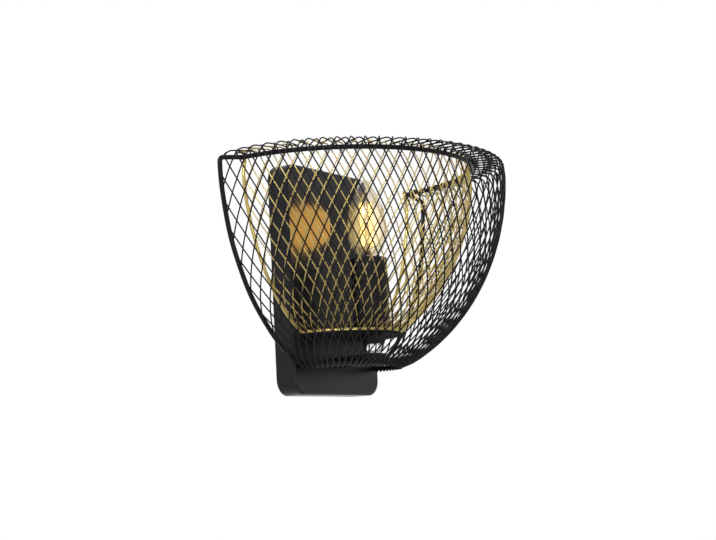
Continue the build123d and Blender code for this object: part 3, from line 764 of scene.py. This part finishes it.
def evaluated_piece(name, base, tree, values):
    """Runs a node tree on a base mesh and returns the result as a plain mesh object."""
    source = bpy.data.objects.new(name + "_source", base)
    bpy.context.scene.collection.objects.link(source)
    modifier = source.modifiers.new("Nodes", "NODES")
    modifier.node_group = tree
    for item in tree.interface.items_tree:
        if item.in_out == "INPUT" and item.name in values:
            modifier[item.identifier] = values[item.name]
    bpy.context.view_layer.update()
    graph = bpy.context.evaluated_depsgraph_get()
    mesh = bpy.data.meshes.new_from_object(source.evaluated_get(graph), depsgraph=graph)
    source.modifiers.clear()
    bpy.data.objects.remove(source)
    if not mesh.polygons:
        raise RuntimeError(f"{name} has no faces")
    mesh.name = name
    piece = bpy.data.objects.new(name, mesh)
    bpy.context.scene.collection.objects.link(piece)
    return piece


def wire_bowl(name, layout, wire, material, shade):
    """One mesh bowl as a piece of its own."""
    strands, welds = layout
    points = [p for strand in strands for p in strand]
    edges = []
    first = 0
    for strand in strands:
        edges += [(i, i + 1) for i in range(first, first + len(strand) - 1)]
        first += len(strand)
    base = bpy.data.meshes.new(name + "_paths")
    base.from_pydata(points + [place for place, _ in welds], edges, [])
    flag = base.attributes.new("knot", "BOOLEAN", "POINT")
    flag.data.foreach_set("value", [False] * len(points) + [True] * len(welds))
    outward = base.attributes.new("outward", "FLOAT_VECTOR", "POINT")
    directions = [Vector((0, 0, 1))] * len(points) + [direction for _, direction in welds]
    outward.data.foreach_set("vector", [v for direction in directions for v in direction])
    return evaluated_piece(
        name,
        base,
        wire_tree(),
        {
            "Wire": wire,
            "Sides": shade.sides,
            "Smoothing": shade.smoothing,
            "Knot Size": shade.knot_size,
            "Finish": material,
        },
    )


def rod_welds(name, places, bead, material):
    """Weld beads on both sides of the lamp, from places on its right side."""
    base = bpy.data.meshes.new(name + "_places")
    base.from_pydata([(side * r, CUT, z) for side in (1, -1) for r, z in places], [], [])
    return evaluated_piece(name, base, bead_tree(), {"Bead": bead, "Finish": material})


def foot_joint(radius, belly, foot_radius, foot_height, rod):
    """Place where a post meets its foot ring."""
    points = bowl_points(radius, belly, foot_radius, foot_height, POST_STEPS)
    (r0, z0), (r1, z1) = points[-2:]
    part = rod / 2 / math.hypot(r0 - r1, z0 - z1)
    return r1 + part * (r0 - r1), z1 + part * (z0 - z1)


def dress(piece, body, slot, *nodes):
    """Puts a piece on its body and hides the CAD nodes that it stands for; the slot is not used."""
    if nodes:
        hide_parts(*nodes)
    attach(piece, body)


class WIRELAMP_OT_outer_bowl(bpy.types.Operator):
    """Weaves the black outer bowl of round wire over its rods and welds the rods"""

    bl_idname = "wirelamp.outer_bowl"
    bl_label = "Outer bowl"

    def execute(self, context):
        shade = context.scene.wire_lamp_shade
        belly = RIM_HEIGHT - shade.belly
        layout = strand_layout(
            self.meridian(shade, belly),
            [(n, n * shade.rim_row) for n in RIM_ROWS],
            shade.outer_cells,
            shade.outer_phase,
            shade.outer_wire,
            CUT - OUTER_ROD / 4,
            shade,
        )
        coat = rod_coat_material()
        mesh = wire_bowl("outer_mesh", layout, shade.outer_wire, coat, shade)
        dress(mesh, "lamp", "black_coat", "outer_strands_left", "outer_strands_right")
        joints = [
            (RIM_RADIUS + OUTER_ROD / 2, RIM_HEIGHT),
            foot_joint(OUTER_RADIUS, belly, FOOT_RADIUS, FOOT_HEIGHT, OUTER_ROD),
        ]
        dress(rod_welds("outer_welds", joints, shade.bead, coat), "lamp", "black_coat")
        return {"FINISHED"}

    def meridian(self, shade, belly):
        """(radius, height) points from the rim ring over the shoulder to under the foot ring."""
        top = RIM_HEIGHT + shade.rim_lift
        middle = OUTER_RADIUS - shade.shoulder
        lap = OUTER_ROD / 2 + shade.outer_wire / 2
        rim = [(RIM_RADIUS, RIM_HEIGHT + lap), (RIM_RADIUS + OUTER_ROD, top)]
        arc = [
            (middle + shade.shoulder * math.sin(t), belly + (top - belly) * math.cos(t))
            for t in quarter_turn(SHOULDER_STEPS)
        ]
        laps = [math.radians(LAP_START + LAP_TURN * step) for step in range(LAP_STEPS)]
        under = [(FOOT_RADIUS + lap * math.cos(t), FOOT_HEIGHT + lap * math.sin(t)) for t in laps]
        wall = bowl_points(OUTER_RADIUS, belly, *under[0], WALL_STEPS)
        return rim + arc + wall[1:] + under[1:]


class WIRELAMP_OT_inner_bowl(bpy.types.Operator):
    """Weaves the gold inner bowl of round wire over its rods and welds the rods"""

    bl_idname = "wirelamp.inner_bowl"
    bl_label = "Inner bowl"

    def execute(self, context):
        shade = context.scene.wire_lamp_shade
        fold = OUTER_ROD / 2 + FOLD_LIFT * shade.inner_wire
        flat = shade.flange + RIM_RADIUS - shade.inner_throat - fold
        edge = flat + fold * math.pi / 2 - shade.inner_row
        half_cell = shade.inner_throat * math.pi / shade.inner_cells / 2
        step = math.sqrt(shade.cell_side**2 - half_cell**2)
        layout = strand_layout(
            self.meridian(shade, fold),
            [(n, edge + n * step) for n in (-edge / step, *FOLD_ROWS)],
            shade.inner_cells,
            shade.inner_phase,
            shade.inner_wire,
            CUT - INNER_ROD / 4,
            shade,
            shade.flange,
        )
        coat = gold_coat_material()
        mesh = wire_bowl("inner_mesh", layout, shade.inner_wire, coat, shade)
        dress(mesh, "lamp", "gold_coat", "inner_strands_left", "inner_strands_right")
        joint = foot_joint(
            shade.inner_radius, INNER_TOP, INNER_FOOT_RADIUS, INNER_FOOT_HEIGHT, INNER_ROD
        )
        welds = rod_welds("inner_welds", [joint], shade.bead * INNER_BEAD, coat)
        dress(welds, "lamp", "gold_coat")
        return {"FINISHED"}

    def meridian(self, shade, fold):
        """(radius, height) points from the flange round a fold and down to the foot ring."""
        middle = shade.inner_throat + fold
        arc = [
            (middle - fold * math.sin(t), RIM_HEIGHT + fold * math.cos(t))
            for t in quarter_turn(FOLD_STEPS)
        ]
        low = RIM_HEIGHT - shade.inner_tuck
        tuck = shade.inner_radius - shade.inner_throat
        wall = bowl_points(
            shade.inner_radius, INNER_TOP, INNER_FOOT_RADIUS, INNER_FOOT_HEIGHT, WALL_STEPS
        )
        drawn_in = [
            (r - tuck * max(0, (z - low) / shade.inner_tuck) ** 2, z)
            for r, z in wall
            if z < RIM_HEIGHT - fold / 4
        ]
        return [(RIM_RADIUS + shade.flange, RIM_HEIGHT + fold)] + arc + drawn_in


class WIRELAMP_OT_metalwork(bpy.types.Operator):
    """Coats the plate, arm, holder and rods, and plates the fixings"""

    bl_idname = "wirelamp.metalwork"
    bl_label = "Metalwork"

    def execute(self, context):
        finish = context.scene.wire_lamp_finish
        paint(black_coat_material(), "backplate", "arm", "knuckle", "holder_cup", "holder_sleeve")
        paint(disc_coat_material(), "carrier_disc")
        rods = ("outer_rim_ring", "outer_foot_ring", "outer_left_post", "outer_right_post")
        paint(rod_coat_material(), *rods)
        paint(gold_coat_material(), "inner_foot_ring", "inner_left_post", "inner_right_post")
        plated = {
            "Ring Scale": 320.0, "Patch Scale": 160.0, "Dulling": 0.3, "Smooth": 0.22, "Rough": 0.42
        }
        zinc = metal("zinc_plate", finish.zinc, plated, bump=0.25, distance=0.0003)
        paint(
            zinc,
            "wall_bracket",
            "cover_screws",
            "terminal_fixing",
            "earth_screw",
            "arm_washer",
            "arm_nut",
            "nipple",
            "nipple_nut",
            "foot_washers",
            "foot_nuts",
        )
        bare = {
            "Ring Scale": 220.0, "Patch Scale": 200.0, "Dulling": 0.35, "Smooth": 0.2, "Rough": 0.4
        }
        brass = metal("brass", finish.brass, bare, bump=0.2, distance=0.0003)
        paint(brass, "terminal_screws", "socket_shell", "socket_contact")
        return {"FINISHED"}


class WIRELAMP_OT_wiring(bpy.types.Operator):
    """Finishes the terminal block, the socket and the leads"""

    bl_idname = "wirelamp.wiring"
    bl_label = "Wiring"

    def execute(self, context):
        finish = context.scene.wire_lamp_finish
        for name, tint, values, bump, nodes in (
            ("white_plastic", finish.white_plastic, MOULDED, 0.08, ["terminal_block"]),
            ("black_plastic", finish.black_plastic, MOULDED, 0.1, ["socket_base", "socket_body"]),
            ("brown_sheath", finish.live, SHEATH, 0.06, ["live_lead"]),
            ("blue_sheath", finish.neutral, SHEATH, 0.06, ["neutral_lead"]),
            ("green_sheath", finish.earth, SHEATH, 0.06, ["earth_lead"]),
        ):
            paint(surface(name, coat_group(), tint, values, bump, distance=0.0002), *nodes)
        return {"FINISHED"}


class WIRELAMP_OT_bulb(bpy.types.Operator):
    """Finishes the candle bulb and lights its filaments"""

    bl_idname = "wirelamp.bulb"
    bl_label = "Bulb"

    def execute(self, context):
        finish = context.scene.wire_lamp_finish
        glass = ("bulb_glass", "bulb_stem")
        paint(glass_material(finish), *glass)
        for node in glass:
            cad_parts[node].visible_shadow = False
        rolled = {
            "Ring Scale": 112.0, "Patch Scale": 150.0, "Dulling": 0.2, "Smooth": 0.15, "Rough": 0.3
        }
        nickel = metal("cap_metal", finish.nickel, rolled, bump=0.6, distance=0.0006)
        paint(nickel, "bulb_cap")
        dress(self.thread(context.scene.wire_lamp_shade, nickel), "bulb", "cap_metal")
        for name, tint, bump, distance, metallic, node in (
            ("black_glass", finish.black_glass, 0.05, 0.0002, 0.0, "bulb_insulator"),
            ("solder", finish.solder, 0.2, 0.0003, 1.0, "bulb_contact"),
            ("support_metal", finish.support, 0.1, 0.0002, 1.0, "filament_wires"),
        ):
            coat = coat_group()
            paint(surface(name, coat, tint, SMALL_PARTS, bump, distance, Metallic=metallic), node)
        paint(filament_material(finish), "filaments")
        return {"FINISHED"}

    def thread(self, shade, nickel):
        """Rolled thread on the cap, from its lower edge up to its skirt."""
        low, high = box_of("bulb_cap")
        span = (high.z - low.z) * THREAD_SHARE
        return evaluated_piece(
            "cap_thread",
            bpy.data.meshes.new("cap_thread_place"),
            thread_tree(),
            {
                "Radius": shade.thread_radius,
                "Ridge": shade.thread_wire,
                "Turns": span / shade.thread_pitch,
                "Length": span,
                "Place": (0.0, AXIS_Y, low.z + shade.thread_pitch / 2),
                "Finish": nickel,
            },
        )


class WIRELAMP_OT_stage(bpy.types.Operator):
    """Sets up the floor, the lights and the camera"""

    bl_idname = "wirelamp.stage"
    bl_label = "Stage"

    def execute(self, context):
        stage = context.scene.wire_lamp_stage
        self.world(context, stage)
        self.floor(context, stage)
        self.lamps(context, stage)
        self.bulb_glow(context, stage)
        self.camera(context, stage)
        context.scene.view_settings.view_transform = "Standard"
        return {"FINISHED"}

    def background_share(self, tree):
        """1 for rays that show the background, 0 for rays that light the object."""
        path = add_node(tree, "ShaderNodeLightPath").outputs
        sharp = math_of(tree, "MAXIMUM", path["Is Camera Ray"], path["Is Glossy Ray"])
        return math_of(tree, "MAXIMUM", sharp, path["Is Transmission Ray"])

    def world(self, context, stage):
        """Soft white light, plain white where it is seen."""
        world = bpy.data.worlds.new("studio")
        context.scene.world = world
        world.use_nodes = True
        tree = world.node_tree
        tree.nodes.clear()
        strength = range_of(tree, self.background_share(tree), (0.0, 1.0), (stage.ambient, 1.0))
        inputs = {"Color": (1, 1, 1, 1), "Strength": strength}
        light = add_node(tree, "ShaderNodeBackground", inputs)
        add_node(tree, "ShaderNodeOutputWorld", {"Surface": light.outputs["Background"]})

    def floor(self, context, stage):
        """A wide floor under the lamp."""
        mesh = bpy.data.meshes.new("floor")
        reach = stage.floor_reach
        corners = [(-reach, -reach), (reach, -reach), (reach, reach), (-reach, reach)]
        mesh.from_pydata([(x, y, stage.floor) for x, y in corners], [], [(0, 1, 2, 3)])
        floor = bpy.data.objects.new("floor", mesh)
        context.scene.collection.objects.link(floor)
        mesh.materials.append(self.floor_material(stage))

    def floor_material(self, stage):
        """Matt and pale, and paling further to plain white away from the lamp."""
        material, tree = empty_material("pale_floor")
        away = add_node(tree, "ShaderNodeVectorMath", {0: object_place(tree)}, operation="LENGTH")
        paling = range_of(
            tree,
            away.outputs["Value"],
            (stage.near, stage.far),
            (stage.shown, 1.0),
            interpolation_type="SMOOTHSTEP",
        )
        white = math_of(tree, "MULTIPLY", self.background_share(tree), paling)
        tone = (stage.floor_tone, stage.floor_tone, stage.floor_tone, 1)
        matt = add_node(tree, "ShaderNodeBsdfDiffuse", {"Color": tone})
        bright = add_node(tree, "ShaderNodeEmission", {"Color": (1, 1, 1, 1), "Strength": 1.0})
        parts = {"Fac": white, 1: matt.outputs["BSDF"], 2: bright.outputs["Emission"]}
        mixed = add_node(tree, "ShaderNodeMixShader", parts)
        add_node(tree, "ShaderNodeOutputMaterial", {"Surface": mixed.outputs["Shader"]})
        return material

    def area_lamp(self, context, name, power, place, ahead):
        """A lamp at a place that faces along a direction."""
        light = bpy.data.lights.new(name, "AREA")
        light.energy = power
        lamp = bpy.data.objects.new(name, light)
        lamp.location = place
        lamp.rotation_mode = "QUATERNION"
        lamp.rotation_quaternion = ahead.to_track_quat("-Z", "Y")
        context.scene.collection.objects.link(lamp)
        return lamp

    def lamps(self, context, stage):
        """The large lamp and the small low one."""
        for name, place, size, power in (
            ("key", stage.key_place, stage.key_size, stage.key),
            ("low", stage.low_place, stage.low_size, stage.low),
        ):
            lamp = self.area_lamp(context, name, power, place, LAMP_AIM - Vector(place))
            lamp.data.size = size

    def bulb_glow(self, context, stage):
        """Warm lamp outside the glass whose reflection the camera meets on the plate alone."""
        mirrored = Vector((stage.eye[0], -stage.eye[1], 0)).normalized()
        middle = (GLASS_LOW + GLASS_HIGH) / 2
        place = middle + mirrored * stage.glow_reach + Vector((0, stage.glow_shift, 0))
        lamp = self.area_lamp(context, "bulb_glow", stage.glow, place, mirrored)
        lamp.data.shape = "ELLIPSE"
        lamp.data.size = stage.glow_width * (GLASS_HIGH.x - GLASS_LOW.x)
        lamp.data.size_y = stage.glow_height * (GLASS_HIGH.z - GLASS_LOW.z)
        lamp.data.color = stage.glow_tint
        lamp.visible_camera = False
        lamp.visible_transmission = False
        lamp.visible_diffuse = False
        lit = bpy.data.collections.new("lit_by_bulb")
        lit.objects.link(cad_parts["backplate"])
        lamp.light_linking.receiver_collection = lit

    def camera(self, context, stage):
        """Camera at the eye, turned, tilted and leaned."""
        ahead = Vector(
            (
                math.sin(stage.yaw) * math.cos(stage.pitch),
                math.cos(stage.yaw) * math.cos(stage.pitch),
                math.sin(stage.pitch),
            )
        )
        right = Vector((math.cos(stage.yaw), -math.sin(stage.yaw), 0))
        up = right.cross(ahead)
        lean_right = right * math.cos(stage.roll) + up * math.sin(stage.roll)
        lean_up = up * math.cos(stage.roll) - right * math.sin(stage.roll)
        data = bpy.data.cameras.new("camera")
        data.sensor_width = 36
        data.sensor_fit = "HORIZONTAL"
        data.lens = stage.lens
        camera = bpy.data.objects.new("camera", data)
        context.scene.collection.objects.link(camera)
        turn = Matrix((lean_right, lean_up, -ahead)).transposed()
        camera.matrix_world = Matrix.Translation(Vector(stage.eye)) @ turn.to_4x4()
        context.scene.camera = camera


OPERATORS = (
    WIRELAMP_OT_metalwork,
    WIRELAMP_OT_wiring,
    WIRELAMP_OT_bulb,
    WIRELAMP_OT_outer_bowl,
    WIRELAMP_OT_inner_bowl,
    WIRELAMP_OT_stage,
)
SETTINGS = {
    "wire_lamp_shade": ShadeSettings,
    "wire_lamp_finish": FinishSettings,
    "wire_lamp_stage": StageSettings,
}


class WIRELAMP_PT_panel(bpy.types.Panel):
    """Lists the lamp's settings and steps"""

    bl_idname = "WIRELAMP_PT_panel"
    bl_label = "Wire wall lamp"
    bl_space_type = "VIEW_3D"
    bl_region_type = "UI"
    bl_category = "Wire lamp"

    def draw(self, context):
        for name, group in SETTINGS.items():
            block = self.layout.box()
            for prop in group.__annotations__:
                block.prop(getattr(context.scene, name), prop)
        for operator in OPERATORS:
            self.layout.operator(operator.bl_idname)


def register():
    for cls in (*SETTINGS.values(), *OPERATORS, WIRELAMP_PT_panel):
        bpy.utils.register_class(cls)
    for name, group in SETTINGS.items():
        setattr(bpy.types.Scene, name, bpy.props.PointerProperty(type=group))


def unregister():
    for name in SETTINGS:
        delattr(bpy.types.Scene, name)
    for cls in (WIRELAMP_PT_panel, *reversed(OPERATORS), *reversed(SETTINGS.values())):
        bpy.utils.unregister_class(cls)


def main():
    register()
    bpy.ops.wirelamp.metalwork()
    bpy.ops.wirelamp.wiring()
    bpy.ops.wirelamp.bulb()
    bpy.ops.wirelamp.outer_bowl()
    bpy.ops.wirelamp.inner_bowl()
    bpy.ops.wirelamp.stage()


if __name__ == "__main__":
    main()
